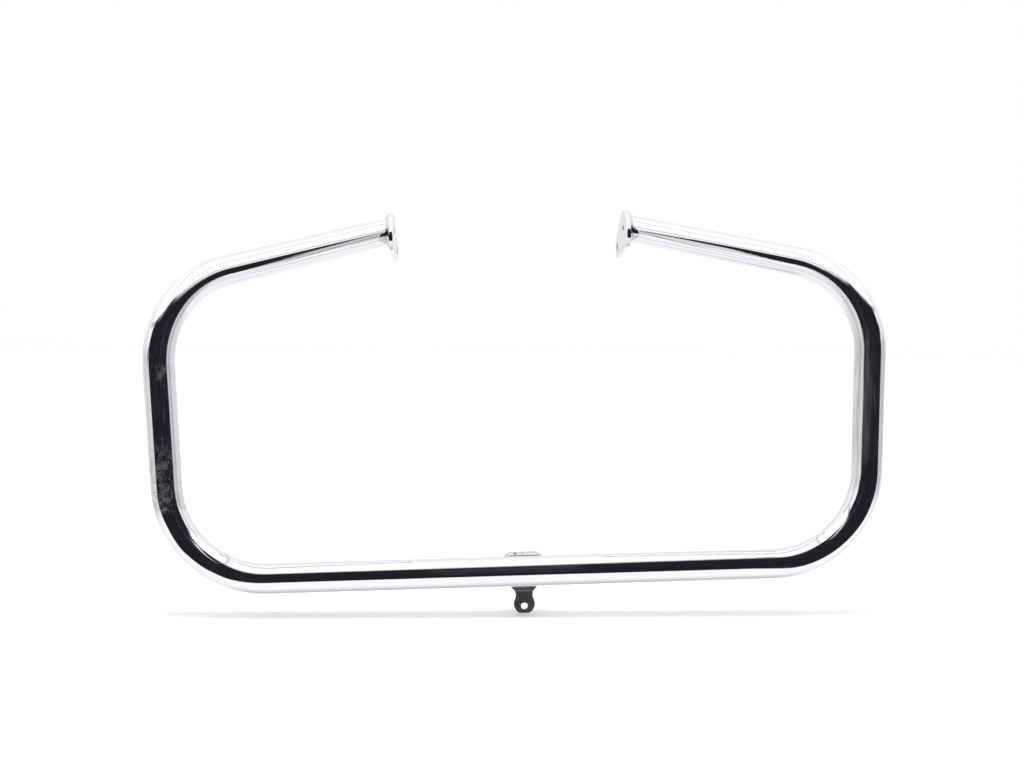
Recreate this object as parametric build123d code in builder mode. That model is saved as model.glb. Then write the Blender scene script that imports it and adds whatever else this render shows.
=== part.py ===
from build123d import *
import math
import os

# Crash bars for a cruiser: one bent steel tube with a flange plate welded to each
# upper end and a formed strap welded behind the middle of its lower run.
# Millimetres. X runs across the guard, +Y to the rear, +Z up. The origin is the
# middle of the bolt hole in the strap's tab.

# Tube
tube_diameter = 31.75
tube_wall = 2.4
bend_radius = 100.0
lower_half_width = 366.0
upper_half_width = 373.5
side_height = 304.0
arm_rise = 72.0
arm_sweep = 190.0

# Flange plates at the upper ends
plate_half_gap = 140.0
plate_thickness = 5.0
plate_rim = 5.0
nose_reach = 31.0
nose_drop = 9.0
nose_radius = 16.0
ear_setback = 48.0
ear_drop = 20.0
ear_radius = 14.0
ear_hole_diameter = 10.5
drain_hole_diameter = 7.6
plate_edge_round = 0.8

# Formed strap with the lower tab
strap_thickness = 5.0
strap_bend_radius = 4.0
saddle_angle = 60.0
pad_width = 42.0
pad_top_width = 30.0
pad_top = 17.5
pad_corner_drop = 5.0
pad_corner_round = 3.0
pad_taper_drop = 4.0
shoulder_width = 26.0
neck_width = 18.5
neck_drop = 27.0
tab_round_drop = 36.5
tab_round_radius = 11.5
tab_end_drop = 46.7
tab_corner_round = 4.0
tab_hole_drop = 38.5
tab_hole_diameter = 7.2
strap_edge_round = 0.7

# Weld beads
end_weld_radius = 4.2
top_weld_radius = 4.4
top_weld_length = 33.0
top_weld_angle = 43.0
side_weld_radius = 3.2
side_weld_angle = 58.0
side_weld_lift = 18.0

# Derived places
tube_radius = tube_diameter / 2
reverse_bend = tube_radius + strap_thickness + strap_bend_radius
reverse_y = reverse_bend * math.cos(math.radians(saddle_angle))
reverse_z = -reverse_bend * math.sin(math.radians(saddle_angle))
tab_front_y = reverse_y - strap_bend_radius - strap_thickness
tab_back_y = tab_front_y + strap_thickness
tube_y = -(tab_front_y + strap_thickness / 2)
tube_z = tab_hole_drop
end_x = plate_half_gap + plate_thickness
end_y = tube_y + arm_sweep
end_z = tube_z + side_height + arm_rise

# The arm's direction from the upper bend to the flange, and the axis it starts on
left_arm = Vector(upper_half_width - end_x, arm_sweep, arm_rise).normalized()
overrun = tube_diameter * 1.5
left_tip = Vector(-end_x, arm_sweep, side_height + arm_rise) + left_arm * overrun

# The oval that the mitred tube makes on the flange
oval_half_length = tube_radius / left_arm.X
oval_tilt = math.degrees(math.atan2(left_arm.Z, left_arm.Y))

# Working planes through the lower run's axis, and on the left flange's outer face
tube_plane = Plane(origin=(0, tube_y, tube_z))
side_plane = Plane(origin=(0, tube_y, tube_z), x_dir=(0, 1, 0), z_dir=(1, 0, 0))
front_plane = Plane(origin=(0, tube_y, tube_z), x_dir=(1, 0, 0), z_dir=(0, -1, 0))
left_face = Plane(origin=(-end_x, end_y, end_z), x_dir=(0, 1, 0), z_dir=(1, 0, 0))
left_arm_plane = Plane(origin=(-end_x, end_y, end_z), z_dir=left_arm)

os.makedirs("parts", exist_ok=True)

# Main tube: one length of round tube with four bends, its ends mitred to the flanges
with BuildPart() as main_tube:
    with BuildLine(tube_plane) as tube_path:
        FilletPolyline(
            (left_tip.X, left_tip.Y, left_tip.Z),
            (-upper_half_width, 0, side_height),
            (-lower_half_width, 0, 0),
            (lower_half_width, 0, 0),
            (upper_half_width, 0, side_height),
            (-left_tip.X, left_tip.Y, left_tip.Z),
            radius=bend_radius,
        )
    with BuildSketch(Plane(origin=tube_path.line @ 0, z_dir=tube_path.line % 0)):
        Circle(tube_radius)
        Circle(tube_radius - tube_wall, mode=Mode.SUBTRACT)
    sweep(path=tube_path.line)
    mitre_block = tube_diameter * 3
    mitre_x = end_x - mitre_block / 2
    with Locations((-mitre_x, end_y, end_z), (mitre_x, end_y, end_z)):
        Box(mitre_block, mitre_block, mitre_block, mode=Mode.SUBTRACT)
main_tube.part.label = "main_tube"
export_step(main_tube.part, "parts/main_tube.step")

# Left flange plate: a rim round the tube's oval end, a blunt nose in front and an ear
# behind that carries the mounting hole
with BuildPart() as left_end_plate:
    with BuildSketch(left_face):
        Ellipse(oval_half_length + plate_rim, tube_radius + plate_rim, rotation=oval_tilt)
        with Locations((nose_radius - nose_reach, -nose_drop)):
            Circle(nose_radius)
        with Locations((ear_setback, -ear_drop)):
            Circle(ear_radius)
        make_hull()
        Circle(drain_hole_diameter / 2, mode=Mode.SUBTRACT)
        with Locations((ear_setback, -ear_drop)):
            Circle(ear_hole_diameter / 2, mode=Mode.SUBTRACT)
    extrude(amount=plate_thickness)
    plate_faces = left_end_plate.faces().filter_by(Axis.X)
    fillet([edge for face in plate_faces for edge in face.outer_wire().edges()], plate_edge_round)
left_end_plate.part.label = "left_end_plate"
export_step(left_end_plate.part, "parts/left_end_plate.step")

# Right flange plate: the left one mirrored
with BuildPart() as right_end_plate:
    mirror(left_end_plate.part, about=Plane.YZ)
right_end_plate.part.label = "right_end_plate"
export_step(right_end_plate.part, "parts/right_end_plate.step")

# Left flange weld: a bead round the oval where the tube meets the plate
with BuildPart() as left_end_weld:
    with BuildLine(left_face) as weld_path:
        EllipticalCenterArc(
            (0, 0),
            oval_half_length,
            tube_radius,
            start_angle=0,
            arc_size=360,
            rotation=oval_tilt,
        )
    with BuildSketch(Plane(origin=weld_path.line @ 0, z_dir=weld_path.line % 0)):
        Circle(end_weld_radius)
    sweep(path=weld_path.line)
    with Locations(left_arm_plane):
        Cylinder(tube_radius, mitre_block, mode=Mode.SUBTRACT)
    with Locations((-mitre_x, end_y, end_z)):
        Box(mitre_block, mitre_block, mitre_block, mode=Mode.SUBTRACT)
left_end_weld.part.label = "left_end_weld"
export_step(left_end_weld.part, "parts/left_end_weld.step")

# Right flange weld: the left one mirrored
with BuildPart() as right_end_weld:
    mirror(left_end_weld.part, about=Plane.YZ)
right_end_weld.part.label = "right_end_weld"
export_step(right_end_weld.part, "parts/right_end_weld.step")

# Lower bracket: a strap that backs the tube, wraps under it and drops as a tab
with BuildPart() as lower_bracket:
    with BuildSketch(side_plane):
        with BuildLine():
            back_y = tube_radius + strap_thickness
            turn = 180 - saddle_angle
            outer_turn = strap_bend_radius + strap_thickness
            Line((tube_radius, pad_top), (tube_radius, 0))
            CenterArc((0, 0), tube_radius, 0, -saddle_angle)
            CenterArc((reverse_y, reverse_z), outer_turn, turn, saddle_angle)
            Line((tab_front_y, reverse_z), (tab_front_y, -tab_end_drop))
            Line((tab_front_y, -tab_end_drop), (tab_back_y, -tab_end_drop))
            Line((tab_back_y, -tab_end_drop), (tab_back_y, reverse_z))
            CenterArc((reverse_y, reverse_z), strap_bend_radius, 180, -saddle_angle)
            CenterArc((0, 0), back_y, -saddle_angle, saddle_angle)
            Line((back_y, 0), (back_y, pad_top))
            Line((back_y, pad_top), (tube_radius, pad_top))
        make_face()
    extrude(amount=pad_width / 2, both=True)
    with BuildSketch(front_plane):
        with BuildLine():
            neck_half = neck_width / 2
            shoulder_half = shoulder_width / 2
            neck_rise = tab_round_drop - neck_drop
            neck_radius = (neck_half**2 + neck_rise**2 - tab_round_radius**2) / (
                2 * (tab_round_radius - neck_half)
            )
            neck_x = neck_half + neck_radius
            shoulder_rise = math.sqrt(neck_radius**2 - (neck_x - shoulder_half) ** 2)
            shoulder_z = shoulder_rise - neck_drop
            share = tab_round_radius / (tab_round_radius + neck_radius)
            join = (neck_x * share, -tab_round_drop + neck_rise * share)
            end_half = math.sqrt(tab_round_radius**2 - (tab_end_drop - tab_round_drop) ** 2)
            Line((0, pad_top), (pad_top_width / 2, pad_top))
            Line((pad_top_width / 2, pad_top), (pad_width / 2, pad_top - pad_corner_drop))
            Line((pad_width / 2, pad_top - pad_corner_drop), (pad_width / 2, -pad_taper_drop))
            Line((pad_width / 2, -pad_taper_drop), (shoulder_half, shoulder_z))
            ThreePointArc((shoulder_half, shoulder_z), (neck_half, -neck_drop), join)
            ThreePointArc(join, (tab_round_radius, -tab_round_drop), (end_half, -tab_end_drop))
            Line((end_half, -tab_end_drop), (0, -tab_end_drop))
            mirror(about=Plane.YZ)
        outline = make_face()
        fillet(outline.vertices().group_by(Axis.Y)[-1], pad_corner_round)
        fillet(outline.vertices().group_by(Axis.Y)[0], tab_corner_round)
        with Locations((0, -tab_hole_drop)):
            Circle(tab_hole_diameter / 2, mode=Mode.SUBTRACT)
    extrude(amount=tube_diameter * 2, both=True, mode=Mode.INTERSECT)
    tab_hole_edges = lower_bracket.edges().filter_by(
        lambda edge: edge.geom_type == GeomType.CIRCLE and edge.is_closed
    )
    fillet(lower_bracket.edges() - tab_hole_edges, strap_edge_round)
lower_bracket.part.label = "lower_bracket"
export_step(lower_bracket.part, "parts/lower_bracket.step")

# Bracket top weld: a bead in the groove between the tube's back and the pad's top
with BuildPart() as bracket_top_weld:
    bead_y = tube_y + tube_radius - top_weld_radius / 2
    bead_z = tube_z + (tube_radius + top_weld_radius / 2) * math.sin(math.radians(top_weld_angle))
    half_run = top_weld_length / 2 - top_weld_radius
    with Locations((0, bead_y, bead_z)):
        Cylinder(top_weld_radius, half_run * 2, rotation=(0, 90, 0))
    with Locations((-half_run, bead_y, bead_z), (half_run, bead_y, bead_z)):
        Sphere(top_weld_radius)
    with Locations((0, tube_y, tube_z)):
        Cylinder(tube_radius, pad_width * 2, rotation=(0, 90, 0), mode=Mode.SUBTRACT)
    with Locations((0, tube_y + tube_radius + pad_width / 2, tube_z)):
        Box(pad_width * 2, pad_width, pad_width * 2, mode=Mode.SUBTRACT)
bracket_top_weld.part.label = "bracket_top_weld"
export_step(bracket_top_weld.part, "parts/bracket_top_weld.step")

# Bracket side welds: a bead along each edge of the pad where it hugs the tube
with BuildPart() as bracket_side_welds:
    lift = math.radians(side_weld_lift)
    with BuildSketch(Plane(tube_plane.origin, (1, 0, 0), (0, -math.sin(lift), math.cos(lift)))):
        with Locations((pad_width / 2, tube_radius)):
            Circle(side_weld_radius)
    revolve(axis=Axis((0, tube_y, tube_z), (-1, 0, 0)), revolution_arc=side_weld_angle)
    for angle in (side_weld_lift, side_weld_lift - side_weld_angle):
        bead_out = tube_radius * math.cos(math.radians(angle))
        bead_up = tube_radius * math.sin(math.radians(angle))
        with Locations((pad_width / 2, tube_y + bead_out, tube_z + bead_up)):
            Sphere(side_weld_radius)
    with Locations((0, tube_y, tube_z)):
        Cylinder(tube_radius, pad_width * 2, rotation=(0, 90, 0), mode=Mode.SUBTRACT)
    add(lower_bracket.part, mode=Mode.SUBTRACT)
    mirror(about=Plane.YZ)
bracket_side_welds.part.label = "bracket_side_welds"
export_step(bracket_side_welds.part, "parts/bracket_side_welds.step")
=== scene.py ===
import math

import bpy
from mathutils import Matrix, Quaternion, Vector


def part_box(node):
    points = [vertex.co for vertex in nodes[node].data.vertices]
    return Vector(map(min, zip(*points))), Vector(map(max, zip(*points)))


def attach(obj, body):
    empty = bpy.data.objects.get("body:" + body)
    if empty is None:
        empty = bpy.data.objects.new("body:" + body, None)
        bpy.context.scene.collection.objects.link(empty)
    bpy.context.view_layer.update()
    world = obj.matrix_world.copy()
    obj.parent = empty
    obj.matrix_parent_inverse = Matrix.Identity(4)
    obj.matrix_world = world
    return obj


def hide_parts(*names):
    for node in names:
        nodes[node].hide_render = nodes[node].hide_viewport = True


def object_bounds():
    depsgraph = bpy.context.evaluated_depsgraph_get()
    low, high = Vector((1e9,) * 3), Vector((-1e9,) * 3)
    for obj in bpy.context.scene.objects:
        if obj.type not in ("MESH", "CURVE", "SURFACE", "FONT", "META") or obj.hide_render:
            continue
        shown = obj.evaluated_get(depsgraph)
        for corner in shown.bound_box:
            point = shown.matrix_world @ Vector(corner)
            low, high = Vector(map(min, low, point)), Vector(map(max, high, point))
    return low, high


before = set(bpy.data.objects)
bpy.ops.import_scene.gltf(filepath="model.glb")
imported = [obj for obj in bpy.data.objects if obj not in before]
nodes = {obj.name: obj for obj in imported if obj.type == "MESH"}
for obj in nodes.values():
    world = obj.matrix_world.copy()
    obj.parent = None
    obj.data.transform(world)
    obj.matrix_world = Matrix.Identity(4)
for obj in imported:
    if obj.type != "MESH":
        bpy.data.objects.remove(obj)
cad_low, cad_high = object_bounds()


# Main tube: one length of drawn steel tube with four bends, ground, buffed and chrome plated.
# It is the whole loop of the guard, so most of what is seen is this one mirror.
MM = 0.001
tube_radius = 15.875 * MM
tube_axis_y = -5.9375 * MM
tube_axis_z = 38.5 * MM
lower_half_width = 366 * MM
upper_half_width = 373.5 * MM
side_height = 304 * MM
side_lean = (upper_half_width - lower_half_width) / side_height
side_inner_x = 340 * MM
side_fade = 10 * MM


def linear(hex_code):
    """An sRGB hex colour as linear red, green, blue and alpha."""
    channels = [int(hex_code[i : i + 2], 16) / 255 for i in (0, 2, 4)]
    return [c / 12.92 if c <= 0.04045 else ((c + 0.055) / 1.055) ** 2.4 for c in channels] + [1.0]


def node(tree, kind, inputs=None, **settings):
    """Adds a node, sets its fields, and gives its sockets values or links from other nodes."""
    made = tree.nodes.new(kind)
    for field, value in settings.items():
        setattr(made, field, value)
    for socket, value in (inputs or {}).items():
        if isinstance(value, bpy.types.NodeSocket):
            tree.links.new(value, made.inputs[socket])
        else:
            made.inputs[socket].default_value = value
    return made


def strip(tree, value, middle, outer, inner, depth=1.0, **settings):
    """A soft-edged strip round a middle value: nothing past its outer half width, full inside the inner."""
    off = node(tree, "ShaderNodeMath", {0: value, 1: middle}, operation="SUBTRACT").outputs[0]
    off = node(tree, "ShaderNodeMath", {0: off}, operation="ABSOLUTE").outputs[0]
    edges = {"Value": off, "From Min": outer, "From Max": inner, "To Max": depth}
    return node(tree, "ShaderNodeMapRange", edges, **settings).outputs[0]


# Bright chrome over buffed steel: a cool mirror whose reflections waver a little where the wheel
# went over the tube. Handling has left a grey bloom, rub lines along the tube and pale specks on
# the two sides, and a few fine scratches along the lower run.
tube_chrome = bpy.data.materials.new("bright_chrome_on_buffed_tube")
tube_chrome.use_nodes = True
tree = tube_chrome.node_tree
chrome = tree.nodes["Principled BSDF"]
place = node(tree, "ShaderNodeTexCoord").outputs["Object"]
axes = node(tree, "ShaderNodeSeparateXYZ", {"Vector": place}).outputs
off_middle = node(tree, "ShaderNodeMath", {0: axes["X"]}, operation="ABSOLUTE").outputs[0]
on_sides = node(
    tree,
    "ShaderNodeMapRange",
    {"Value": off_middle, "From Min": side_inner_x - side_fade, "From Max": side_inner_x},
).outputs[0]
on_right = node(tree, "ShaderNodeMath", {0: axes["X"], 1: 0.0}, operation="GREATER_THAN").outputs[0]
on_left = node(tree, "ShaderNodeMath", {0: 1.0, 1: on_right}, operation="SUBTRACT").outputs[0]

# Where the bloom lies along the two sides: low on the left with a sharp lower end, higher and
# longer on the right.
bloom_left_low_z = 112 * MM
bloom_left_high_z = 196 * MM
bloom_right_low_z = 140 * MM
bloom_right_high_z = 296 * MM
bloom_left_fade = 5 * MM
bloom_right_fade = 30 * MM
bloom_fade_high = 32 * MM
bloom_low = node(
    tree,
    "ShaderNodeMapRange",
    {"Value": on_right, "To Min": bloom_left_low_z, "To Max": bloom_right_low_z},
).outputs[0]
bloom_high = node(
    tree,
    "ShaderNodeMapRange",
    {"Value": on_right, "To Min": bloom_left_high_z, "To Max": bloom_right_high_z},
).outputs[0]
low_fade = node(
    tree,
    "ShaderNodeMapRange",
    {"Value": on_right, "To Min": bloom_left_fade, "To Max": bloom_right_fade},
).outputs[0]
over_low = node(tree, "ShaderNodeMath", {0: axes["Z"], 1: bloom_low}, operation="SUBTRACT").outputs[0]
under_high = node(tree, "ShaderNodeMath", {0: bloom_high, 1: axes["Z"]}, operation="SUBTRACT").outputs[0]
from_low = node(tree, "ShaderNodeMapRange", {"Value": over_low, "From Max": low_fade}).outputs[0]
from_high = node(
    tree,
    "ShaderNodeMapRange",
    {"Value": under_high, "From Max": bloom_fade_high},
    interpolation_type="SMOOTHSTEP",
).outputs[0]
in_bloom = node(tree, "ShaderNodeMath", {0: from_low, 1: from_high}, operation="MULTIPLY").outputs[0]

# Where it lies round the tube: on the right side over the inner half and the outer rim, and on the
# left side all round, but thinner on the inner rim.
inner_half_x = 359.5 * MM
inner_half_fade = 3.5 * MM
outer_half_trace = 0.05
right_rim_x = 375.5 * MM
right_rim_fade = 1.0 * MM
right_rim_bloom = 1.4
left_rim_x = -355.5 * MM
left_rim_fade = 1.5 * MM
left_rim_trace = 0.3
upright_x = node(
    tree, "ShaderNodeMath", {0: axes["Z"], 1: -side_lean, 2: axes["X"]}, operation="MULTIPLY_ADD"
).outputs[0]
inner_half = node(
    tree,
    "ShaderNodeMapRange",
    {
        "Value": upright_x,
        "From Min": inner_half_x + inner_half_fade,
        "From Max": inner_half_x - inner_half_fade,
        "To Min": outer_half_trace,
    },
).outputs[0]
right_rim = node(
    tree,
    "ShaderNodeMapRange",
    {
        "Value": upright_x,
        "From Min": right_rim_x - right_rim_fade,
        "From Max": right_rim_x + right_rim_fade,
        "To Max": right_rim_bloom,
    },
).outputs[0]
round_right = node(tree, "ShaderNodeMath", {0: inner_half, 1: right_rim}, operation="MAXIMUM").outputs[0]
in_bloom = node(tree, "ShaderNodeMath", {0: in_bloom, 1: round_right}, operation="MULTIPLY").outputs[0]
left_upright_x = node(
    tree, "ShaderNodeMath", {0: axes["Z"], 1: side_lean, 2: axes["X"]}, operation="MULTIPLY_ADD"
).outputs[0]
left_rim = node(
    tree,
    "ShaderNodeMapRange",
    {
        "Value": left_upright_x,
        "From Min": left_rim_x - left_rim_fade,
        "From Max": left_rim_x + left_rim_fade,
        "To Min": 1.0,
        "To Max": left_rim_trace,
    },
).outputs[0]
round_left = node(tree, "ShaderNodeMath", {0: left_rim, 1: on_right}, operation="MAXIMUM").outputs[0]
in_bloom = node(tree, "ShaderNodeMath", {0: in_bloom, 1: round_left}, operation="MULTIPLY").outputs[0]

# A short patch of it lies higher up on the left side.
patch_z = 257 * MM
patch_half = 9 * MM
patch_fade = 3 * MM
patch_edge_x = -371 * MM
patch_edge_fade = 2 * MM
patch_trace = 0.1
patch_bloom = 0.8
in_patch = strip(tree, axes["Z"], patch_z, patch_half, patch_half - patch_fade)
patch_side = node(
    tree,
    "ShaderNodeMapRange",
    {
        "Value": axes["X"],
        "From Min": patch_edge_x,
        "From Max": patch_edge_x + patch_edge_fade,
        "To Min": patch_trace,
        "To Max": patch_bloom,
    },
).outputs[0]
in_patch = node(tree, "ShaderNodeMath", {0: in_patch, 1: patch_side}, operation="MULTIPLY").outputs[0]
in_patch = node(tree, "ShaderNodeMath", {0: in_patch, 1: on_left}, operation="MULTIPLY").outputs[0]
handled = node(tree, "ShaderNodeMath", {0: in_bloom, 1: in_patch}, operation="MAXIMUM").outputs[0]
handled = node(tree, "ShaderNodeMath", {0: handled, 1: on_sides}, operation="MULTIPLY").outputs[0]

# The bloom itself: mottle on the left, and long soft smears along the tube on the right. Both are
# drawn twice as coarse as they are, so that they show.
cloud_size = 7 * MM
cloud_squeeze = (1.0, 1.0, 0.8)
cloud_detail = 4.0
cloud_roughness = 0.7
cloud_thin = 0.46
cloud_thick = 0.58
cloud_bloom = 1.1
cloud_place = node(tree, "ShaderNodeMapping", {"Vector": place, "Scale": cloud_squeeze}).outputs[0]
clouds = node(
    tree,
    "ShaderNodeTexNoise",
    {"Vector": cloud_place, "Scale": 1 / cloud_size, "Detail": cloud_detail, "Roughness": cloud_roughness},
).outputs[0]
cloud_patches = node(
    tree,
    "ShaderNodeMapRange",
    {"Value": clouds, "From Min": cloud_thin, "From Max": cloud_thick, "To Max": cloud_bloom},
).outputs[0]
smear_width = 4 * MM
smear_length = 55 * MM
smear_detail = 3.0
smear_thin = 0.36
smear_thick = 0.6
smear_bloom = 1.1
smear_size = (1 / smear_width, 1 / smear_width, 1 / smear_length)
smear_place = node(tree, "ShaderNodeMapping", {"Vector": place, "Scale": smear_size}).outputs[0]
smears = node(
    tree, "ShaderNodeTexNoise", {"Vector": smear_place, "Scale": 1.0, "Detail": smear_detail}
).outputs[0]
smear_patches = node(
    tree,
    "ShaderNodeMapRange",
    {"Value": smears, "From Min": smear_thin, "From Max": smear_thick, "To Max": smear_bloom},
).outputs[0]
haze = node(
    tree, "ShaderNodeMix", {"Factor": on_right, "A": cloud_patches, "B": smear_patches}
).outputs["Result"]
bloom = node(tree, "ShaderNodeMath", {0: haze, 1: handled}, operation="MULTIPLY").outputs[0]

# A thin ridge of dried dirt runs round the tube at the lower end of the left bloom.
ridge_z = 117 * MM
ridge_half = 1.0 * MM
ridge_bloom = 1.4
ridge = strip(tree, axes["Z"], ridge_z, ridge_half, ridge_half / 2)
ridge = node(tree, "ShaderNodeMath", {0: ridge, 1: on_left}, operation="MULTIPLY").outputs[0]
ridge = node(tree, "ShaderNodeMath", {0: ridge, 1: on_sides}, operation="MULTIPLY").outputs[0]
ridge = node(tree, "ShaderNodeMath", {0: ridge, 1: cloud_patches}, operation="MULTIPLY").outputs[0]
bloom = node(
    tree, "ShaderNodeMath", {0: ridge, 1: ridge_bloom, 2: bloom}, operation="MULTIPLY_ADD"
).outputs[0]

# Rub lines: thin streaks along the side tubes. Their real width of a tenth of a millimetre is drawn
# six times coarser so that it shows.
rub_width = 0.6 * MM
rub_length = 40 * MM
rub_detail = 2.0
rub_thin = 0.62
rub_thick = 0.70
rub_low_z = 130 * MM
rub_high_z = 275 * MM
rub_fade = 25 * MM
rub_size = (1 / rub_width, 1 / rub_width, 1 / rub_length)
rub_place = node(tree, "ShaderNodeMapping", {"Vector": place, "Scale": rub_size}).outputs[0]
rubs = node(tree, "ShaderNodeTexNoise", {"Vector": rub_place, "Scale": 1.0, "Detail": rub_detail}).outputs[0]
rub_lines = node(
    tree, "ShaderNodeMapRange", {"Value": rubs, "From Min": rub_thin, "From Max": rub_thick}
).outputs[0]
over_rubs = node(
    tree,
    "ShaderNodeMapRange",
    {"Value": axes["Z"], "From Min": rub_low_z - rub_fade, "From Max": rub_low_z},
).outputs[0]
under_rubs = node(
    tree,
    "ShaderNodeMapRange",
    {"Value": axes["Z"], "From Min": rub_high_z + rub_fade, "From Max": rub_high_z},
).outputs[0]
rub_zone = node(tree, "ShaderNodeMath", {0: over_rubs, 1: under_rubs}, operation="MULTIPLY").outputs[0]
rub_zone = node(tree, "ShaderNodeMath", {0: rub_zone, 1: on_sides}, operation="MULTIPLY").outputs[0]
rubbed = node(tree, "ShaderNodeMath", {0: rub_lines, 1: rub_zone}, operation="MULTIPLY").outputs[0]

# Scratches: a few fine ones along the lower run, drawn coarser as the rub lines are.
scratch_length = 45 * MM
scratch_detail = 2.0
scratch_thin = 0.68
scratch_thick = 0.74
scratch_size = (1 / scratch_length, 1 / rub_width, 1 / rub_width)
scratch_place = node(tree, "ShaderNodeMapping", {"Vector": place, "Scale": scratch_size}).outputs[0]
scratches = node(
    tree, "ShaderNodeTexNoise", {"Vector": scratch_place, "Scale": 1.0, "Detail": scratch_detail}
).outputs[0]
scratch_lines = node(
    tree, "ShaderNodeMapRange", {"Value": scratches, "From Min": scratch_thin, "From Max": scratch_thick}
).outputs[0]
on_lower_run = node(
    tree,
    "ShaderNodeMapRange",
    {"Value": axes["Z"], "From Min": tube_axis_z + 2 * tube_radius, "From Max": tube_axis_z + tube_radius},
).outputs[0]
scratched = node(
    tree, "ShaderNodeMath", {0: scratch_lines, 1: on_lower_run}, operation="MULTIPLY"
).outputs[0]
rubbed = node(tree, "ShaderNodeMath", {0: rubbed, 1: scratched}, operation="MAXIMUM").outputs[0]

# Specks: pin-head spots of dried dirt, many in the bloom and a few elsewhere.
speck_spacing = 2.4 * MM
speck_edge = 0.32
speck_core = 0.18
speck_limit_clean = 0.988
speck_limit_bloom = 0.86
specks = node(tree, "ShaderNodeTexVoronoi", {"Vector": place, "Scale": 1 / speck_spacing})
speck_dots = node(
    tree,
    "ShaderNodeMapRange",
    {"Value": specks.outputs["Distance"], "From Min": speck_edge, "From Max": speck_core},
).outputs[0]
speck_limit = node(
    tree, "ShaderNodeMapRange", {"Value": handled, "To Min": speck_limit_clean, "To Max": speck_limit_bloom}
).outputs[0]
few = node(
    tree, "ShaderNodeMath", {0: specks.outputs["Color"], 1: speck_limit}, operation="GREATER_THAN"
).outputs[0]
specked = node(tree, "ShaderNodeMath", {0: speck_dots, 1: few}, operation="MULTIPLY").outputs[0]

# Bloom, lines and specks scatter a little light over the mirror and blur it.
rub_weight = 0.7
speck_weight = 1.5
most_scatter = 2.0
worn_mirror = 0.84
bright_roughness = 0.035
worn_roughness = 0.3
scatter = node(
    tree, "ShaderNodeMath", {0: rubbed, 1: rub_weight, 2: bloom}, operation="MULTIPLY_ADD"
).outputs[0]
scatter = node(
    tree, "ShaderNodeMath", {0: specked, 1: speck_weight, 2: scatter}, operation="MULTIPLY_ADD"
).outputs[0]
mirror_share = node(
    tree,
    "ShaderNodeMapRange",
    {"Value": scatter, "From Max": most_scatter, "To Min": 1.0, "To Max": worn_mirror},
).outputs[0]
tree.links.new(mirror_share, chrome.inputs["Metallic"])
roughness = node(
    tree,
    "ShaderNodeMapRange",
    {"Value": scatter, "From Max": most_scatter, "To Min": bright_roughness, "To Max": worn_roughness},
).outputs[0]
tree.links.new(roughness, chrome.inputs["Roughness"])
colour = node(
    tree,
    "ShaderNodeMix",
    {"Factor": bloom, "A": linear("DEDFE1"), "B": linear("C4C5C8")},
    data_type="RGBA",
)
tree.links.new(colour.outputs["Result"], chrome.inputs["Base Color"])

# The wheel has left long, shallow waves in the steel.
wave_size = 16 * MM
wave_depth = 0.15 * MM
wave_strength = 0.35
waves = node(
    tree, "ShaderNodeTexNoise", {"Vector": place, "Scale": 1 / wave_size, "Detail": 1.0}
).outputs[0]
buffing = node(
    tree, "ShaderNodeBump", {"Height": waves, "Strength": wave_strength, "Distance": wave_depth}
).outputs[0]
tree.links.new(buffing, chrome.inputs["Normal"])
nodes["main_tube"].material_slots[0].material = tube_chrome


# End plates: two flanges blanked from 5 mm steel sheet, drilled, and plated with the tube.
# Each closes one upper end of the tube and carries an ear with the mounting hole.
grain_size = 2.2 * MM
grain_depth = 0.05 * MM
grain_strength = 0.2
grain_detail = 3.0
grain_smooth = 0.05
grain_rough = 0.11
noise_low = 0.3
noise_high = 0.7

# Chrome over blanked sheet: a mirror that the grain of the rolled steel softens a little. The grain is
# drawn coarser than it is, so that it shows.
sheet_chrome = bpy.data.materials.new("chrome_on_blanked_sheet")
sheet_chrome.use_nodes = True
tree = sheet_chrome.node_tree
chrome = tree.nodes["Principled BSDF"]
chrome.inputs["Metallic"].default_value = 1.0
place = node(tree, "ShaderNodeTexCoord").outputs["Object"]
grain = node(
    tree, "ShaderNodeTexNoise", {"Vector": place, "Scale": 1 / grain_size, "Detail": grain_detail}
).outputs[0]
colour = node(
    tree,
    "ShaderNodeMix",
    {"Factor": grain, "A": linear("D4D6D8"), "B": linear("E0E2E4")},
    data_type="RGBA",
)
tree.links.new(colour.outputs["Result"], chrome.inputs["Base Color"])
roughness = node(
    tree,
    "ShaderNodeMapRange",
    {
        "Value": grain,
        "From Min": noise_low,
        "From Max": noise_high,
        "To Min": grain_smooth,
        "To Max": grain_rough,
    },
).outputs[0]
tree.links.new(roughness, chrome.inputs["Roughness"])
rolled = node(
    tree, "ShaderNodeBump", {"Height": grain, "Strength": grain_strength, "Distance": grain_depth}
).outputs[0]
tree.links.new(rolled, chrome.inputs["Normal"])
for name in ("left_end_plate", "right_end_plate"):
    nodes[name].material_slots[0].material = sheet_chrome


# End welds: a bead laid by hand round each joint of tube and plate, ripple over ripple, and
# plated with the rest. Each ripple is one scale of metal that leans on the one before it.
spatter_size = 1.3 * MM
spatter_depth = 0.08 * MM
spatter_strength = 0.3
spatter_detail = 3.0
spatter_smooth = 0.07
spatter_rough = 0.16

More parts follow.
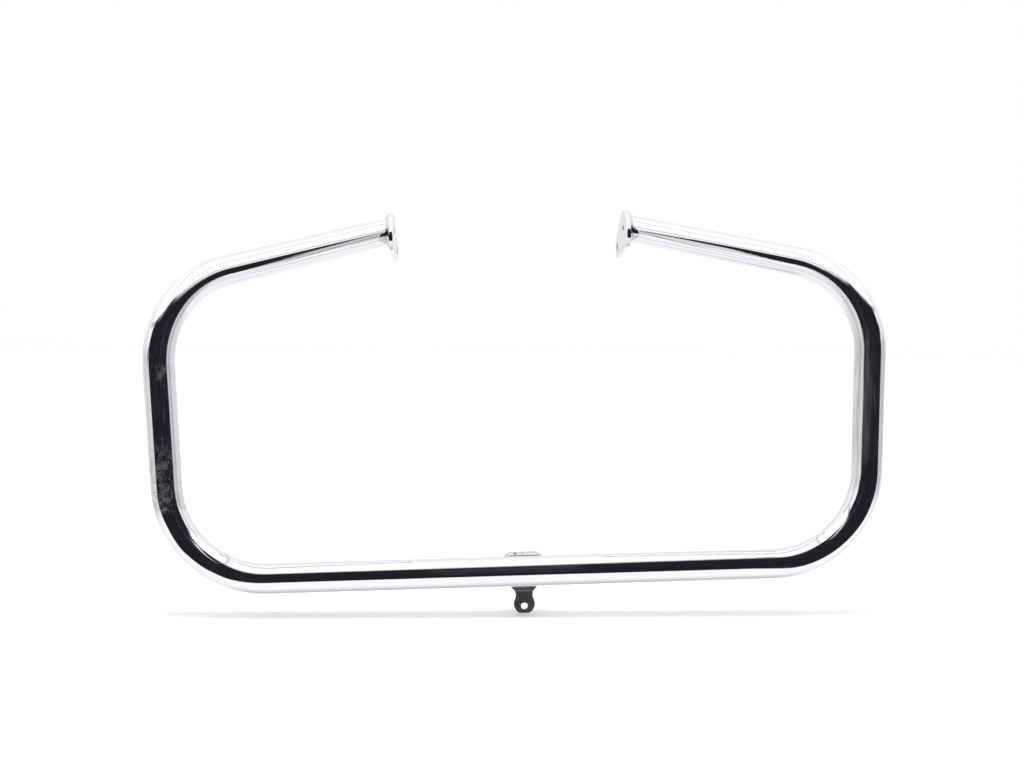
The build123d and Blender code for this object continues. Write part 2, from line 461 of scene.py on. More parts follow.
# Chrome over a weld bead: bright but broken up, as each ripple and speck of spatter mirrors another way.
weld_chrome = bpy.data.materials.new("chrome_on_weld_bead")
weld_chrome.use_nodes = True
tree = weld_chrome.node_tree
chrome = tree.nodes["Principled BSDF"]
chrome.inputs["Metallic"].default_value = 1.0
place = node(tree, "ShaderNodeTexCoord").outputs["Object"]
spatter = node(
    tree, "ShaderNodeTexNoise", {"Vector": place, "Scale": 1 / spatter_size, "Detail": spatter_detail}
).outputs[0]
colour = node(
    tree,
    "ShaderNodeMix",
    {"Factor": spatter, "A": linear("B9BBBE"), "B": linear("DADCDE")},
    data_type="RGBA",
)
tree.links.new(colour.outputs["Result"], chrome.inputs["Base Color"])
roughness = node(
    tree,
    "ShaderNodeMapRange",
    {
        "Value": spatter,
        "From Min": noise_low,
        "From Max": noise_high,
        "To Min": spatter_smooth,
        "To Max": spatter_rough,
    },
).outputs[0]
tree.links.new(roughness, chrome.inputs["Roughness"])
cast = node(
    tree, "ShaderNodeBump", {"Height": spatter, "Strength": spatter_strength, "Distance": spatter_depth}
).outputs[0]
tree.links.new(cast, chrome.inputs["Normal"])

ripple_lean = Quaternion((1, 0, 0), math.radians(28))
ripple_share = 0.92
ripple_segments = 28
ripple_rings = 16
pit_segments = 24
pit_rings = 14
bead_voxel = 0.4 * MM
settle_share = 0.5
settle_rounds = 2


def weld_bead(name, stations, bead_radius, replaced, pits=()):
    """Sets a leaning scale of weld at each station of a joint, melts them into a bead and opens its pits."""
    bpy.ops.object.select_all(action="DESELECT")
    bpy.ops.mesh.primitive_uv_sphere_add(
        segments=ripple_segments, ring_count=ripple_rings, radius=bead_radius
    )
    bpy.ops.transform.resize(value=(1, 1, ripple_share))
    bpy.ops.object.transform_apply(location=False, rotation=False, scale=True)
    scales = [bpy.context.object]
    while len(scales) < len(stations):
        bpy.ops.object.duplicate()
        scales.append(bpy.context.object)
    for scale, (at, along) in zip(scales, stations):
        turn = along.to_track_quat("Z", "Y") @ ripple_lean
        scale.matrix_world = Matrix.Translation(at) @ turn.to_matrix().to_4x4()
        scale.select_set(True)
    bpy.ops.object.join()
    bpy.ops.object.transform_apply(location=True, rotation=True, scale=True)
    bead = bpy.context.object
    bead.name = name
    melt = bead.modifiers.new("melt", "REMESH")
    melt.mode = "VOXEL"
    melt.voxel_size = bead_voxel
    melt.use_smooth_shade = True
    bpy.ops.object.modifier_apply(modifier=melt.name)
    settle = bead.modifiers.new("settle", "SMOOTH")
    settle.factor = settle_share
    settle.iterations = settle_rounds
    bpy.ops.object.modifier_apply(modifier=settle.name)
    for at, pit_radius in pits:
        bpy.ops.mesh.primitive_uv_sphere_add(
            segments=pit_segments, ring_count=pit_rings, radius=pit_radius, location=at
        )
        pit = bpy.context.object
        bpy.ops.object.select_all(action="DESELECT")
        bead.select_set(True)
        bpy.context.view_layer.objects.active = bead
        hollow = bead.modifiers.new("pit", "BOOLEAN")
        hollow.operation = "DIFFERENCE"
        hollow.object = pit
        bpy.ops.object.modifier_apply(modifier=hollow.name)
        bpy.data.objects.remove(pit)
    bpy.ops.object.shade_smooth()
    bead.data.materials.clear()
    bead.data.materials.append(weld_chrome)
    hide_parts(replaced)
    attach(bead, "root")


plate_face_x = 145 * MM
arm_sweep = 190 * MM
arm_rise = 72 * MM
end_weld_radius = 4.2 * MM
end_ripples = 54
arm = Vector((upper_half_width - plate_face_x, arm_sweep, arm_rise)).normalized()
oval_half_length = tube_radius / arm.x
oval_tilt = math.atan2(arm.z, arm.y)
for side, weld_name in ((-1, "left_end_weld"), (1, "right_end_weld")):
    low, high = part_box(weld_name)
    oval_middle = (low + high) / 2
    oval_middle.x = side * plate_face_x
    stations = []
    for i in range(end_ripples):
        turn = 2 * math.pi * i / end_ripples
        out = Vector((0, math.cos(turn) * oval_half_length, math.sin(turn) * tube_radius))
        along = Vector((0, -math.sin(turn) * oval_half_length, math.cos(turn) * tube_radius))
        tilt = Matrix.Rotation(oval_tilt, 3, "X")
        stations.append((oval_middle + tilt @ out, (tilt @ along).normalized()))
    weld_bead(f"{weld_name}_ripples", stations, end_weld_radius, weld_name)


# Lower bracket: a strap of 5 mm steel formed round the back of the lower run, its lower end a
# tab with the bolt hole. It is plated with the rest.
frost_and_shade_low_z = 15 * MM
frost_and_shade_low_fade = 4 * MM
frost_and_shade_high_z = 34 * MM
frost_and_shade_high_fade = 6 * MM
burnt_low_z = 44 * MM
burnt_high_z = 49 * MM
flat_shine = 0.965
painted_shade_shine = 0.86
burnt_shine = 0.12
recess_frosting = 0.25
burnt_frosting = 0.5
pressing_size = 6 * MM
pressing_detail = 2.0
pressing_smooth = 0.05
pressing_rough = 0.09

# Chrome over formed strap: smooth and dark-looking on the flat tab, and frosted close to the tube, where no
# buffing wheel gets in.
# Close to the tube it is also painted a darker grey and made less metallic: painted shade standing in for
# the shadowed floor that the bend mirrors.
# At the top of the pad it is burnt to a dull white by the weld there.
strap_chrome = bpy.data.materials.new("chrome_on_formed_strap")
strap_chrome.use_nodes = True
tree = strap_chrome.node_tree
chrome = tree.nodes["Principled BSDF"]
place = node(tree, "ShaderNodeTexCoord").outputs["Object"]
up = node(tree, "ShaderNodeSeparateXYZ", {"Vector": place}).outputs["Z"]
frost_and_shade_from_below = node(
    tree,
    "ShaderNodeMapRange",
    {"Value": up, "From Min": frost_and_shade_low_z, "From Max": frost_and_shade_low_z + frost_and_shade_low_fade},
    interpolation_type="SMOOTHSTEP",
).outputs[0]
under_tube = node(
    tree,
    "ShaderNodeMapRange",
    {"Value": up, "From Min": frost_and_shade_high_z + frost_and_shade_high_fade, "From Max": frost_and_shade_high_z},
).outputs[0]
painted_shade_under_tube = node(tree, "ShaderNodeMath", {0: frost_and_shade_from_below, 1: under_tube}, operation="MULTIPLY").outputs[0]
# Less metallic close to the tube: part of the painted shade there.
shine = node(
    tree, "ShaderNodeMapRange", {"Value": painted_shade_under_tube, "To Min": flat_shine, "To Max": painted_shade_shine}
).outputs[0]
burnt = node(
    tree, "ShaderNodeMapRange", {"Value": up, "From Min": burnt_low_z, "From Max": burnt_high_z}
).outputs[0]
shine = node(tree, "ShaderNodeMix", {"Factor": burnt, "A": shine, "B": burnt_shine}).outputs["Result"]
tree.links.new(shine, chrome.inputs["Metallic"])
pressing = node(
    tree, "ShaderNodeTexNoise", {"Vector": place, "Scale": 1 / pressing_size, "Detail": pressing_detail}
).outputs[0]
bright = node(
    tree,
    "ShaderNodeMix",
    {"Factor": pressing, "A": linear("D3D4D6"), "B": linear("DEE0E2")},
    data_type="RGBA",
).outputs["Result"]
# Darker grey base colour close to the tube: painted shade for the shadowed floor that the bend mirrors.
colour = node(
    tree,
    "ShaderNodeMix",
    {"Factor": painted_shade_under_tube, "A": bright, "B": linear("8F9092")},
    data_type="RGBA",
)
tree.links.new(colour.outputs["Result"], chrome.inputs["Base Color"])
flat_roughness = node(
    tree, "ShaderNodeMapRange", {"Value": pressing, "To Min": pressing_smooth, "To Max": pressing_rough}
).outputs[0]
frosting = node(
    tree,
    "ShaderNodeMapRange",
    {
        "Value": up,
        "From Min": frost_and_shade_high_z,
        "From Max": frost_and_shade_high_z + frost_and_shade_high_fade,
        "To Min": recess_frosting,
        "To Max": burnt_frosting,
    },
).outputs[0]
roughness = node(
    tree, "ShaderNodeMath", {0: frost_and_shade_from_below, 1: frosting, 2: flat_roughness}, operation="MULTIPLY_ADD"
).outputs[0]
tree.links.new(roughness, chrome.inputs["Roughness"])
nodes["lower_bracket"].material_slots[0].material = strap_chrome


# Bracket welds: a short bead in the groove above the pad, and one along each edge of the pad
# where it hugs the tube. They are laid and plated as the end welds are.
# Two gas pits are left open in the short one.
top_weld_radius = 4.4 * MM
top_ripple_radius = 4.9 * MM
top_weld_half_run = 13.4 * MM
top_weld_angle = math.radians(43)
top_ripples = 12
top_weld_y = tube_axis_y + tube_radius - top_weld_radius / 2
top_weld_z = tube_axis_z + (tube_radius + top_weld_radius / 2) * math.sin(top_weld_angle)
stations = []
for i in range(top_ripples):
    across = top_weld_half_run * (2 * i / (top_ripples - 1) - 1)
    stations.append((Vector((across, top_weld_y, top_weld_z)), Vector((1, 0, 0))))
pit_forward = 2.6 * MM
pit_lift = 4.2 * MM
left_pit_x = -8.6 * MM
left_pit_radius = 1.7 * MM
middle_pit_x = -0.8 * MM
middle_pit_radius = 1.2 * MM
pit_y = top_weld_y - pit_forward
pit_z = top_weld_z + pit_lift
top_pits = (
    (Vector((left_pit_x, pit_y, pit_z)), left_pit_radius),
    (Vector((middle_pit_x, pit_y, pit_z)), middle_pit_radius),
)
weld_bead("bracket_top_weld_ripples", stations, top_ripple_radius, "bracket_top_weld", top_pits)

side_weld_radius = 3.2 * MM
side_weld_x = 21 * MM
side_weld_lift = math.radians(18)
side_weld_sweep = math.radians(58)
side_ripples = 7
stations = []
for side in (-1, 1):
    for i in range(side_ripples):
        turn = side_weld_lift - side_weld_sweep * i / (side_ripples - 1)
        at = Vector(
            (
                side * side_weld_x,
                tube_axis_y + tube_radius * math.cos(turn),
                tube_axis_z + tube_radius * math.sin(turn),
            )
        )
        stations.append((at, Vector((0, math.sin(turn), -math.cos(turn)))))
weld_bead("bracket_side_welds_ripples", stations, side_weld_radius, "bracket_side_welds")


# Floor: a wide sheet of matt white card that the tab stands on.
# It has the faint tooth of card and takes the soft shadow under the lower run.
# The guard leans a little on its tab, so the card lies askew under it.
floor_half = 12.0
floor_lean = math.radians(1.67)
floor_gap = 0.3 * MM
bpy.ops.object.select_all(action="DESELECT")
bpy.ops.mesh.primitive_grid_add(
    x_subdivisions=2,
    y_subdivisions=2,
    size=2 * floor_half,
    location=(0, 0, cad_low.z - floor_gap),
    rotation=(0, floor_lean, 0),
)
bpy.ops.object.transform_apply(location=True, rotation=True, scale=True)
floor = bpy.context.object
floor.name = "floor"

# Matt white card: almost even and without any shine. Its tooth is drawn far coarser than it is.
card = bpy.data.materials.new("matt_white_card")
card.use_nodes = True
tree = card.node_tree
paper = tree.nodes["Principled BSDF"]
place = node(tree, "ShaderNodeTexCoord").outputs["Object"]
tooth_size = 30 * MM
card_roughness = 0.9
tooth = node(tree, "ShaderNodeTexNoise", {"Vector": place, "Scale": 1 / tooth_size}).outputs[0]
colour = node(
    tree,
    "ShaderNodeMix",
    {"Factor": tooth, "A": linear("F7F7F6"), "B": linear("F9F9F9")},
    data_type="RGBA",
)
tree.links.new(colour.outputs["Result"], paper.inputs["Base Color"])
paper.inputs["Roughness"].default_value = card_roughness
paper.inputs["Specular IOR Level"].default_value = 0.0
floor.data.materials.append(card)
floor.visible_glossy = False


# Studio: a white tent of soft light, open at the front towards a dark room. The camera sees plain
# white all round, the floor is lit by the tent, and the chrome mirrors the tent and its opening.
studio = bpy.data.worlds.new("studio")
bpy.context.scene.world = studio
studio.use_nodes = True
tree = studio.node_tree
tree.nodes.clear()
DEG = math.pi / 180
way = node(tree, "ShaderNodeTexCoord").outputs["Generated"]
axes = node(tree, "ShaderNodeSeparateXYZ", {"Vector": way}).outputs
to_front = node(tree, "ShaderNodeMath", {0: axes["Y"], 1: -1.0}, operation="MULTIPLY").outputs[0]
to_side = node(tree, "ShaderNodeMath", {0: axes["X"]}, operation="ABSOLUTE").outputs[0]
bearing = node(tree, "ShaderNodeMath", {0: axes["X"], 1: to_front}, operation="ARCTAN2").outputs[0]
aside = node(tree, "ShaderNodeMath", {0: bearing}, operation="ABSOLUTE").outputs[0]
height = node(tree, "ShaderNodeMath", {0: axes["Z"]}, operation="ARCSINE").outputs[0]

# The opening: a dark arch straight in front.
arch_half_width = 47 * DEG
arch_end_soft = 2 * DEG
arch_top = 47 * DEG
arch_fall = -0.5
arch_soft = 5 * DEG
arch_ends = node(
    tree,
    "ShaderNodeMapRange",
    {
        "Value": aside,
        "From Min": arch_half_width + arch_end_soft,
        "From Max": arch_half_width - arch_end_soft,
    },
).outputs[0]
arch_line = node(
    tree, "ShaderNodeMath", {0: aside, 1: arch_fall, 2: arch_top}, operation="MULTIPLY_ADD"
).outputs[0]
over_arch = node(tree, "ShaderNodeMath", {0: height, 1: arch_line}, operation="SUBTRACT").outputs[0]
under_arch = node(
    tree,
    "ShaderNodeMapRange",
    {"Value": over_arch, "From Min": arch_soft, "From Max": -arch_soft},
    interpolation_type="SMOOTHSTEP",
).outputs[0]
arch = node(tree, "ShaderNodeMath", {0: arch_ends, 1: under_arch}, operation="MULTIPLY").outputs[0]

# A thin slit on each side, where the tent's walls don't quite meet its front. It fades out slowly on
# the left, where a steep gap crosses its end.
slit_slope = 0.05
slit_height = 10.5 * DEG
slit_outer = 6 * DEG
slit_inner = 2.5 * DEG
slit_right_end = 82 * DEG
slit_right_full = 68 * DEG
slit_left_end = -74 * DEG
slit_left_full = -40 * DEG
slit_middle = node(
    tree, "ShaderNodeMath", {0: bearing, 1: slit_slope, 2: slit_height}, operation="MULTIPLY_ADD"
).outputs[0]
slit_tall = strip(tree, height, slit_middle, slit_outer, slit_inner)
slit_right = node(
    tree, "ShaderNodeMapRange", {"Value": bearing, "From Min": slit_right_end, "From Max": slit_right_full}
).outputs[0]
slit_left = node(
    tree, "ShaderNodeMapRange", {"Value": bearing, "From Min": slit_left_end, "From Max": slit_left_full}
).outputs[0]
slit_wide = node(tree, "ShaderNodeMath", {0: slit_right, 1: slit_left}, operation="MULTIPLY").outputs[0]
slit = node(tree, "ShaderNodeMath", {0: slit_tall, 1: slit_wide}, operation="MULTIPLY").outputs[0]
gap_slope = 1.44
gap_height = 104.3 * DEG
gap_outer = 6 * DEG
gap_inner = 3 * DEG
gap_near = -61 * DEG
gap_far = -72 * DEG
gap_soft = 2 * DEG
gap_line = node(
    tree, "ShaderNodeMath", {0: bearing, 1: gap_slope, 2: gap_height}, operation="MULTIPLY_ADD"
).outputs[0]
gap = strip(tree, height, gap_line, gap_outer, gap_inner)
gap_start = node(
    tree, "ShaderNodeMapRange", {"Value": bearing, "From Min": gap_near, "From Max": gap_near - gap_soft}
).outputs[0]
gap_end = node(
    tree, "ShaderNodeMapRange", {"Value": bearing, "From Min": gap_far, "From Max": gap_far + gap_soft}
).outputs[0]
gap = node(tree, "ShaderNodeMath", {0: gap, 1: gap_start}, operation="MULTIPLY").outputs[0]
gap = node(tree, "ShaderNodeMath", {0: gap, 1: gap_end}, operation="MULTIPLY").outputs[0]
slit = node(tree, "ShaderNodeMath", {0: slit, 1: gap}, operation="MAXIMUM").outputs[0]

# The white sheet on the table: it runs to the front as a tongue that hides the room's lower part.
tongue_half_width = 14 * DEG
tongue_foot = 30 * DEG
tongue_height = -18 * DEG
table_height = -29 * DEG
table_soft = 1 * DEG
table_edge = node(
    tree,
    "ShaderNodeMapRange",
    {
        "Value": aside,
        "From Min": tongue_half_width,
        "From Max": tongue_foot,
        "To Min": tongue_height,
        "To Max": table_height,
    },
    interpolation_type="SMOOTHSTEP",
).outputs[0]
over_table = node(tree, "ShaderNodeMath", {0: height, 1: table_edge}, operation="SUBTRACT").outputs[0]
clear_of_table = node(
    tree, "ShaderNodeMapRange", {"Value": over_table, "From Min": -table_soft, "From Max": table_soft}
).outputs[0]
arch = node(tree, "ShaderNodeMath", {0: arch, 1: clear_of_table}, operation="MULTIPLY").outputs[0]
dark = node(tree, "ShaderNodeMath", {0: arch, 1: slit}, operation="MAXIMUM").outputs[0]

# The tent's seams: one runs from the opening's upper corners along both walls, one stands in each
# wall, and a pole goes overhead from front to back on each side.
seam_slope = 0.2
seam_height = 43 * DEG
seam_outer = 3 * DEG
seam_inner = 1 * DEG
seam_depth = 0.6
seam_far = 98 * DEG
seam_full = 75 * DEG
seam_drop = node(
    tree, "ShaderNodeMath", {0: aside, 1: seam_slope, 2: height}, operation="MULTIPLY_ADD"
).outputs[0]
corner_seam = strip(tree, seam_drop, seam_height, seam_outer, seam_inner, seam_depth)
seam_end = node(
    tree, "ShaderNodeMapRange", {"Value": aside, "From Min": seam_far, "From Max": seam_full}
).outputs[0]
corner_seam = node(tree, "ShaderNodeMath", {0: corner_seam, 1: seam_end}, operation="MULTIPLY").outputs[0]
wall_seam_bearing = 99 * DEG
wall_seam_outer = 6 * DEG
wall_seam_inner = 2 * DEG
wall_seam_depth = 0.3
wall_seam_top = 45 * DEG
wall_seam_full = 30 * DEG
wall_seam = strip(tree, aside, wall_seam_bearing, wall_seam_outer, wall_seam_inner, wall_seam_depth)
wall_end = node(
    tree, "ShaderNodeMapRange", {"Value": height, "From Min": wall_seam_top, "From Max": wall_seam_full}
).outputs[0]
wall_seam = node(tree, "ShaderNodeMath", {0: wall_seam, 1: wall_end}, operation="MULTIPLY").outputs[0]
pole_angle = 70 * DEG
pole_outer = 1.8 * DEG
pole_inner = 0.8 * DEG
pole_depth = 0.35
overhead = node(tree, "ShaderNodeMath", {0: axes["Z"], 1: to_side}, operation="ARCTAN2").outputs[0]
pole = strip(tree, overhead, pole_angle, pole_outer, pole_inner, pole_depth)
seams = node(tree, "ShaderNodeMath", {0: corner_seam, 1: wall_seam}, operation="MAXIMUM").outputs[0]
seams = node(tree, "ShaderNodeMath", {0: seams, 1: pole}, operation="MAXIMUM").outputs[0]

# How bright each part is. The roof is brightest in front and the walls and back are a little grey.
roof_side_lift = 0.4
roof_front_lift = 0.2
roof_brightest = 0.93
roof_tones = ((0.25, "E4E5E6"), (0.5, "EBEBEC"), (0.8, "F6F6F7"))
roof_place = node(
    tree, "ShaderNodeMath", {0: to_side, 1: roof_side_lift, 2: axes["Z"]}, operation="MULTIPLY_ADD"
).outputs[0]
roof_place = node(
    tree, "ShaderNodeMath", {0: to_front, 1: roof_front_lift, 2: roof_place}, operation="MULTIPLY_ADD"
).outputs[0]
roof_light = node(tree, "ShaderNodeValToRGB", {"Fac": roof_place})
roof_ramp = roof_light.color_ramp
roof_ramp.elements[0].color = linear("D8D8D9")
roof_ramp.elements[1].position = roof_brightest
roof_ramp.elements[1].color = linear("FFFFFF")
for at, tone in roof_tones:
    roof_ramp.elements.new(at).color = linear(tone)

# The sheet below is white in front, and in the guard's own shade straight down and just behind.
sheet_front = 0.35
sheet_back = -1.0
shade_back = -0.5
shade_middle = 0.6
shade_from = -0.66
shade_full = -0.84
guard_side_end = 0.5
guard_side_full = 0.3
sheet_from = -0.14
sheet_full = -0.34
shade_share = node(
    tree, "ShaderNodeMapRange", {"Value": to_front, "From Min": shade_back, "From Max": sheet_front}
).outputs[0]
shade = node(tree, "ShaderNodeValToRGB", {"Fac": shade_share})
shade_ramp = shade.color_ramp
shade_ramp.elements[0].color = linear("B4B5B7")
shade_ramp.elements[1].color = linear("F8F9FA")
shade_ramp.elements.new(shade_middle).color = linear("E1E2E3")
open_share = node(
    tree, "ShaderNodeMapRange", {"Value": to_front, "From Min": sheet_back, "From Max": sheet_front}
).outputs[0]
open_sheet = node(
    tree,
    "ShaderNodeMix",
    {"Factor": open_share, "A": linear("EBECED"), "B": linear("F8F9FA")},
    data_type="RGBA",
).outputs["Result"]
steep = node(
    tree, "ShaderNodeMapRange", {"Value": axes["Z"], "From Min": shade_from, "From Max": shade_full}
).outputs[0]
under_guard = node(
    tree, "ShaderNodeMapRange", {"Value": to_side, "From Min": guard_side_end, "From Max": guard_side_full}
).outputs[0]
steep = node(tree, "ShaderNodeMath", {0: steep, 1: under_guard}, operation="MULTIPLY").outputs[0]
sheet = node(
    tree,
    "ShaderNodeMix",
    {"Factor": steep, "A": open_sheet, "B": shade.outputs["Color"]},
    data_type="RGBA",
).outputs["Result"]
below = node(
    tree,
    "ShaderNodeMapRange",
    {"Value": axes["Z"], "From Min": sheet_from, "From Max": sheet_full},
    interpolation_type="SMOOTHSTEP",
).outputs[0]
tent = node(
    tree,
    "ShaderNodeMix",
    {"Factor": below, "A": roof_light.outputs["Color"], "B": sheet},
    data_type="RGBA",
).outputs["Result"]

# The walls are greyer at table height, and the right one more than the left.
wall_height = -6 * DEG
wall_outer = 18 * DEG
wall_inner = 8 * DEG
wall_from = 0.45
wall_full = 0.75
right_wall_from = 40 * DEG
right_wall_full = 60 * DEG
right_wall_end = 106 * DEG
right_wall_end_full = 98 * DEG
wall_tall = strip(tree, height, wall_height, wall_outer, wall_inner, interpolation_type="SMOOTHSTEP")
wall_share = node(
    tree, "ShaderNodeMapRange", {"Value": to_side, "From Min": wall_from, "From Max": wall_full}
).outputs[0]
wall = node(tree, "ShaderNodeMath", {0: wall_tall, 1: wall_share}, operation="MULTIPLY").outputs[0]
right_share = node(
    tree, "ShaderNodeMapRange", {"Value": bearing, "From Min": right_wall_from, "From Max": right_wall_full}
).outputs[0]
before_seam = node(
    tree,
    "ShaderNodeMapRange",
    {"Value": bearing, "From Min": right_wall_end, "From Max": right_wall_end_full},
).outputs[0]
right_share = node(
    tree, "ShaderNodeMath", {0: right_share, 1: before_seam}, operation="MULTIPLY"
).outputs[0]
wall_tone = node(
    tree,
    "ShaderNodeMix",
    {"Factor": right_share, "A": linear("D6D6D6"), "B": linear("C4C4C5")},
    data_type="RGBA",
).outputs["Result"]
tent = node(
    tree,
    "ShaderNodeMix",
    {"Factor": wall, "A": tent, "B": wall_tone},
    data_type="RGBA",
).outputs["Result"]
tent = node(
    tree,
    "ShaderNodeMix",
    {"Factor": seams, "A": tent, "B": linear("3C3D42")},
    data_type="RGBA",
).outputs["Result"]

# The room is nearly black, a little lighter towards its top, with dim level streaks of what is in it.
room_floor = -20 * DEG
room_ceiling = 50 * DEG
streak_stretch = (2.5, 2.5, 18.0)
streak_detail = 3.0
streak_low = 0.35
streak_high = 0.7
streak_dim = 0.6
streak_lit = 1.9
room_share = node(
    tree, "ShaderNodeMapRange", {"Value": height, "From Min": room_floor, "From Max": room_ceiling}
).outputs[0]
room = node(
    tree,
    "ShaderNodeMix",
    {"Factor": room_share, "A": linear("101017"), "B": linear("35353E")},
    data_type="RGBA",
).outputs["Result"]
level = node(tree, "ShaderNodeMapping", {"Vector": way, "Scale": streak_stretch}).outputs[0]
things = node(
    tree, "ShaderNodeTexNoise", {"Vector": level, "Scale": 1.0, "Detail": streak_detail}
).outputs[0]
glow = node(
    tree,
    "ShaderNodeMapRange",
    {
        "Value": things,
        "From Min": streak_low,
        "From Max": streak_high,
        "To Min": streak_dim,
        "To Max": streak_lit,
    },
).outputs[0]
room = node(tree, "ShaderNodeVectorMath", {0: room, "Scale": glow}, operation="SCALE").outputs[0]
mirrored = node(
    tree, "ShaderNodeMix", {"Factor": dark, "A": tent, "B": room}, data_type="RGBA"
).outputs["Result"]

# Chrome gives back about three quarters of what it mirrors, so the mirrored tent is lit above white.
mirror_gain = 1.36
floor_gain = 1.06
ray = node(tree, "ShaderNodeLightPath").outputs
plain = node(tree, "ShaderNodeBackground", {"Color": linear("FFFFFF"), "Strength": 1.0}).outputs[0]
lit = node(tree, "ShaderNodeBackground", {"Color": linear("FFFFFF"), "Strength": floor_gain}).outputs[0]
in_chrome = node(tree, "ShaderNodeBackground", {"Color": mirrored, "Strength": mirror_gain}).outputs[0]
by_gloss = node(tree, "ShaderNodeMixShader", {0: ray["Is Glossy Ray"], 1: lit, 2: in_chrome}).outputs[0]
by_camera = node(tree, "ShaderNodeMixShader", {0: ray["Is Camera Ray"], 1: by_gloss, 2: plain}).outputs[0]
node(tree, "ShaderNodeOutputWorld", {"Surface": by_camera})
bpy.context.scene.view_settings.view_transform = "Standard"


# Room card: the rest of the dark room, close in front on both sides of the arch. It is near
# enough that the two halves of the guard mirror it differently. Only the chrome sees it.
card_away = 0.55
card_slope = 0.14
card_half = 2.2
bpy.ops.object.select_all(action="DESELECT")
bpy.ops.mesh.primitive_grid_add(x_subdivisions=2, y_subdivisions=2, size=2 * card_half)
room_card = bpy.context.object
room_card.name = "room_card"
room_card.rotation_euler = (math.pi / 2, 0, math.atan(card_slope))
room_card.location = (0, tube_axis_y - card_away, tube_axis_z)
bpy.ops.object.transform_apply(location=True, rotation=True, scale=True)

# Dark room in the opening: nearly black, so that it stands in the chrome as a soft-edged dark band.
dark_room = bpy.data.materials.new("dark_room_in_the_opening")
dark_room.use_nodes = True
tree = dark_room.node_tree
tree.nodes.clear()
place = node(tree, "ShaderNodeTexCoord").outputs["Object"]
axes = node(tree, "ShaderNodeSeparateXYZ", {"Vector": place}).outputs
off_axis = node(tree, "ShaderNodeMath", {0: axes["X"]}, operation="ABSOLUTE").outputs[0]
room_up = node(tree, "ShaderNodeMath", {0: axes["Z"], 1: tube_axis_z}, operation="SUBTRACT").outputs[0]

# Its two ends, and the break in its middle, closed at the top, that lets the arch behind it show.
room_left = -1.75
room_right = 1.3
room_soft = 0.12
break_half_width = 0.10
break_soft = 0.04
break_top = 0.44
break_top_soft = 0.08
from_left = node(
    tree,
    "ShaderNodeMapRange",
    {"Value": axes["X"], "From Min": room_left - room_soft, "From Max": room_left + room_soft},
).outputs[0]
from_right = node(
    tree,
    "ShaderNodeMapRange",
    {"Value": axes["X"], "From Min": room_right + room_soft, "From Max": room_right - room_soft},
).outputs[0]
room_ends = node(tree, "ShaderNodeMath", {0: from_left, 1: from_right}, operation="MULTIPLY").outputs[0]
beside_break = node(
    tree,
    "ShaderNodeMapRange",
    {"Value": off_axis, "From Min": break_half_width, "From Max": break_half_width + break_soft},
).outputs[0]
over_break = node(
    tree,
    "ShaderNodeMapRange",
    {"Value": room_up, "From Min": break_top, "From Max": break_top + break_top_soft},
).outputs[0]
off_break = node(
    tree, "ShaderNodeMath", {0: beside_break, 1: over_break}, operation="MAXIMUM"
).outputs[0]

# Its top rises towards both ends.
top_middle = 0.70
left_top_from = -0.5
left_top_full = -1.2
left_top_end = 1.05
right_top_from = 0.5
right_top_full = 1.4
right_top_end = 0.86
top_soft = 0.1
left_top = node(
    tree,
    "ShaderNodeMapRange",
    {
        "Value": axes["X"],
        "From Min": left_top_from,
        "From Max": left_top_full,
        "To Min": top_middle,
        "To Max": left_top_end,
    },
).outputs[0]
right_top = node(
    tree,
    "ShaderNodeMapRange",
    {
        "Value": axes["X"],
        "From Min": right_top_from,
        "From Max": right_top_full,
        "To Min": top_middle,
        "To Max": right_top_end,
    },
).outputs[0]
room_top = node(tree, "ShaderNodeMath", {0: left_top, 1: right_top}, operation="MAXIMUM").outputs[0]
under_top = node(tree, "ShaderNodeMath", {0: room_top, 1: room_up}, operation="SUBTRACT").outputs[0]
under_top = node(
    tree,
    "ShaderNodeMapRange",
    {"Value": under_top, "From Min": -top_soft, "From Max": top_soft},
    interpolation_type="SMOOTHSTEP",
).outputs[0]

# Its lower edge follows the table's white tongue, and lifts at the right end.
low_from = 0.36
low_full = 0.55
low_middle = -0.175
low_side = -0.33
low_soft = 0.03
lift_from = 1.05
lift_full = 1.5
lift_most = 0.4
room_low = node(
    tree,
    "ShaderNodeMapRange",
    {
        "Value": off_axis,
        "From Min": low_from,
        "From Max": low_full,
        "To Min": low_middle,
        "To Max": low_side,
    },
    interpolation_type="SMOOTHSTEP",
).outputs[0]
room_lift = node(
    tree,
    "ShaderNodeMapRange",
    {"Value": axes["X"], "From Min": lift_from, "From Max": lift_full, "To Max": lift_most},
).outputs[0]
room_low = node(tree, "ShaderNodeMath", {0: room_low, 1: room_lift}, operation="ADD").outputs[0]
room_over = node(tree, "ShaderNodeMath", {0: room_up, 1: room_low}, operation="SUBTRACT").outputs[0]
room_over = node(
    tree, "ShaderNodeMapRange", {"Value": room_over, "From Min": -low_soft, "From Max": low_soft}
).outputs[0]
shown = node(tree, "ShaderNodeMath", {0: room_ends, 1: off_break}, operation="MULTIPLY").outputs[0]
shown = node(tree, "ShaderNodeMath", {0: shown, 1: under_top}, operation="MULTIPLY").outputs[0]
shown = node(tree, "ShaderNodeMath", {0: shown, 1: room_over}, operation="MULTIPLY").outputs[0]

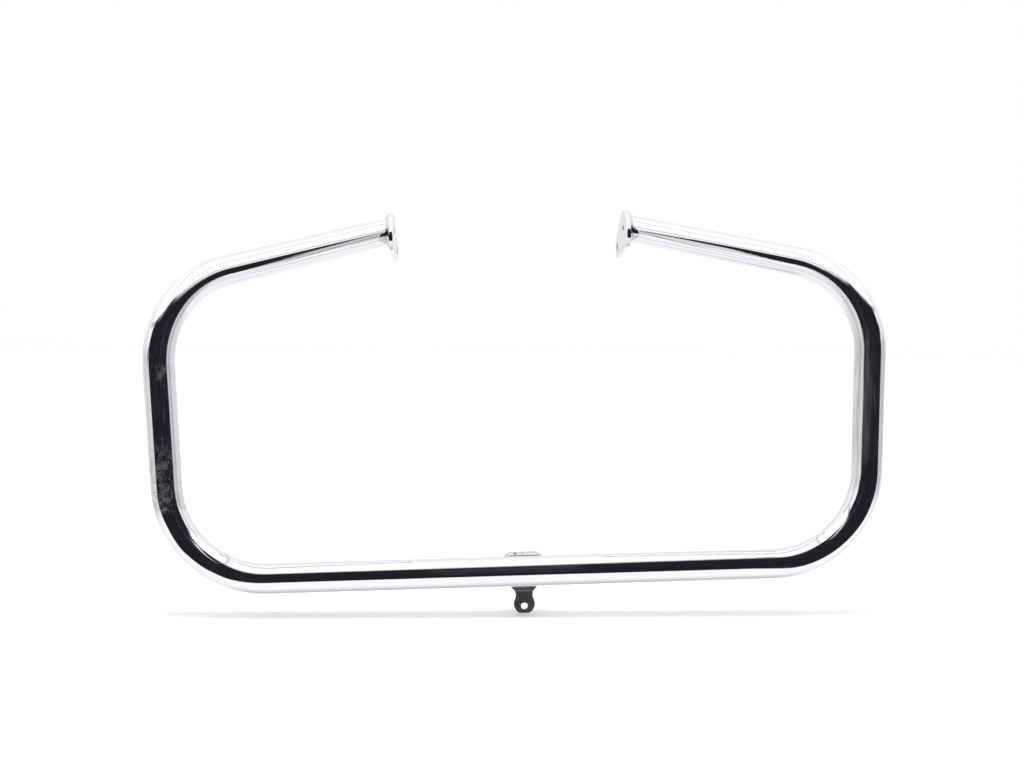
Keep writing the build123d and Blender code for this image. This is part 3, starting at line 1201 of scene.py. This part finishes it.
# What is in it shows as dim level streaks, a third of a metre long and 50 mm tall.
streak_length = 1 / 3
streak_height = 50 * MM
streak_size = (1 / streak_length, 1 / streak_length, 1 / streak_height)
level = node(tree, "ShaderNodeMapping", {"Vector": place, "Scale": streak_size}).outputs[0]
things = node(
    tree, "ShaderNodeTexNoise", {"Vector": level, "Scale": 1.0, "Detail": streak_detail}
).outputs[0]
room_tone = node(
    tree,
    "ShaderNodeMix",
    {"Factor": things, "A": linear("111117"), "B": linear("292932")},
    data_type="RGBA",
).outputs["Result"]
glow = node(tree, "ShaderNodeEmission", {"Color": room_tone, "Strength": mirror_gain}).outputs[0]
clear = node(tree, "ShaderNodeBsdfTransparent").outputs[0]
seen = node(tree, "ShaderNodeMixShader", {0: shown, 1: clear, 2: glow}).outputs[0]
node(tree, "ShaderNodeOutputMaterial", {"Surface": seen})
room_card.data.materials.append(dark_room)
room_card.visible_camera = False
room_card.visible_diffuse = False
room_card.visible_shadow = False


# Soft box: a large square light high up, a little in front of the guard. It draws the thin shadow
# under the lower run and isn't seen in the chrome.
box_place = Vector((0, -0.15, 2.5))
box_side = 0.8
box_watts = 44.0
bpy.ops.object.light_add(type="AREA", location=box_place)
soft_box = bpy.context.object
soft_box.rotation_euler = box_place.to_track_quat("Z", "Y").to_euler()
soft_box.data.size = box_side
soft_box.data.energy = box_watts
soft_box.visible_glossy = False


# Camera: a metre in front of the guard, a little left of its middle and a little under its upper bends.
# It looks a few degrees right and down.
camera_place = (-58.5 * MM, -1054.3 * MM, 302.6 * MM)
lens_mm = 35.39
sensor_mm = 36.0
nearest_seen = 0.05
look_right = math.radians(2.70)
look_down = math.radians(3.58)
roll = math.radians(-1.042)
bpy.ops.object.camera_add(location=camera_place)
camera = bpy.context.object
camera.data.lens = lens_mm
camera.data.sensor_width = sensor_mm
turned = (
    Matrix.Rotation(-look_right, 3, "Z")
    @ Matrix.Rotation(math.pi / 2 - look_down, 3, "X")
    @ Matrix.Rotation(roll, 3, "Z")
)
camera.rotation_euler = turned.to_euler()
camera.data.clip_start = nearest_seen
bpy.context.scene.camera = camera
